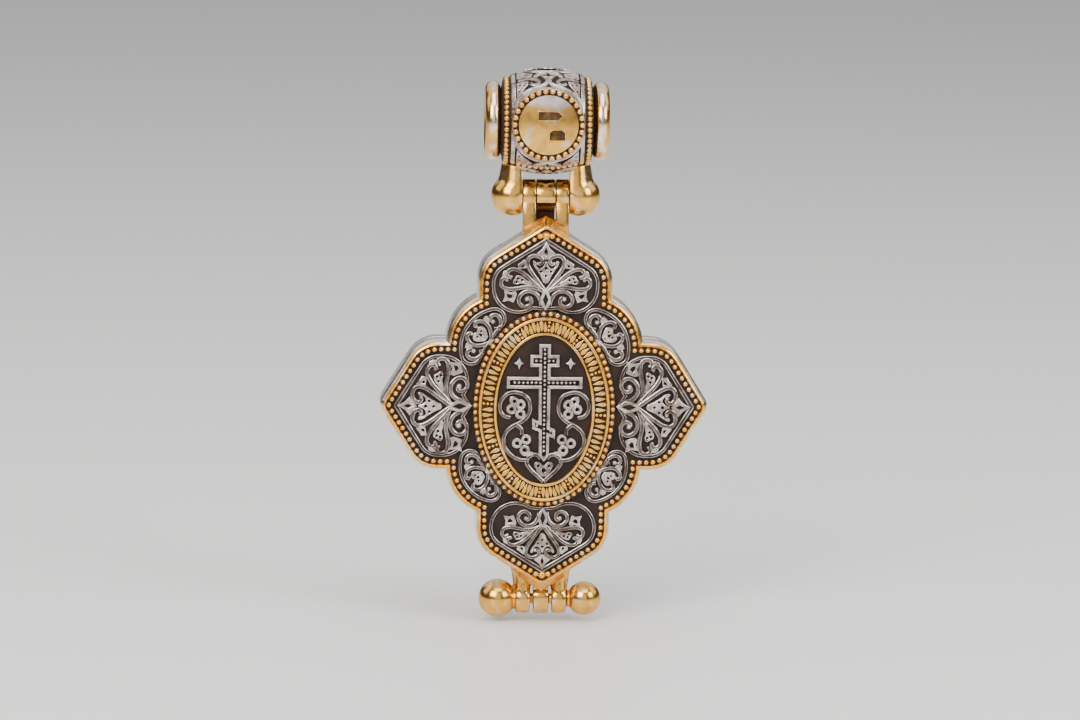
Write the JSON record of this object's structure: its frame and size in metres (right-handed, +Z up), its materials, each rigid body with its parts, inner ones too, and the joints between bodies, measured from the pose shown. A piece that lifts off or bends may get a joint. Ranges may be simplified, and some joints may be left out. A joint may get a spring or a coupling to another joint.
{
  "type": "encolpion cross",
  "caption": "Lobed cross-shaped locket of two hinged leaves with an oval medallion, ball-headed clasp pin and barrel bail.",
  "frame": {"origin": "middle of the bail's bore, on its axis", "axes": "+X along the bore, to the right as seen from the cross side; +Z up; the cross side faces -Y"},
  "size_m": [0.0384, 0.0127, 0.0651],
  "materials": {
    "silver": "cast silver, soft polish",
    "oxidised_silver": "darkened silver with rubbed relief",
    "gilt": "polished gilding"
  },
  "bodies": {
    "bail": {"bail_barrel": "oxidised_silver", "bail_ring_left": "gilt", "bail_ring_right": "gilt", "bail_disc": "gilt", "hinge_pin": "silver"},
    "front_leaf": {"front_frame": "silver", "front_plate": "oxidised_silver", "front_medallion": "oxidised_silver"},
    "back_leaf": {"back_frame": "silver", "back_plate": "oxidised_silver", "back_medallion": "oxidised_silver"},
    "clasp": {"clasp_pin": "silver"}
  },
  "joints": [
    {"name": "pendant_swing", "type": "hinge", "parent": "bail", "child": "front_leaf", "pos_m": [0, 0, -0.00875], "axis": [1, 0, 0], "range_deg": [-80, 15]},
    {"name": "leaf_open", "type": "hinge", "parent": "front_leaf", "child": "back_leaf", "pos_m": [0, 0, -0.00875], "axis": [1, 0, 0], "range_deg": [0, 65]},
    {"name": "clasp_slide", "type": "slide", "parent": "back_leaf", "child": "clasp", "axis": [1, 0, 0], "range_m": [0, 0.0043]}
  ]
}
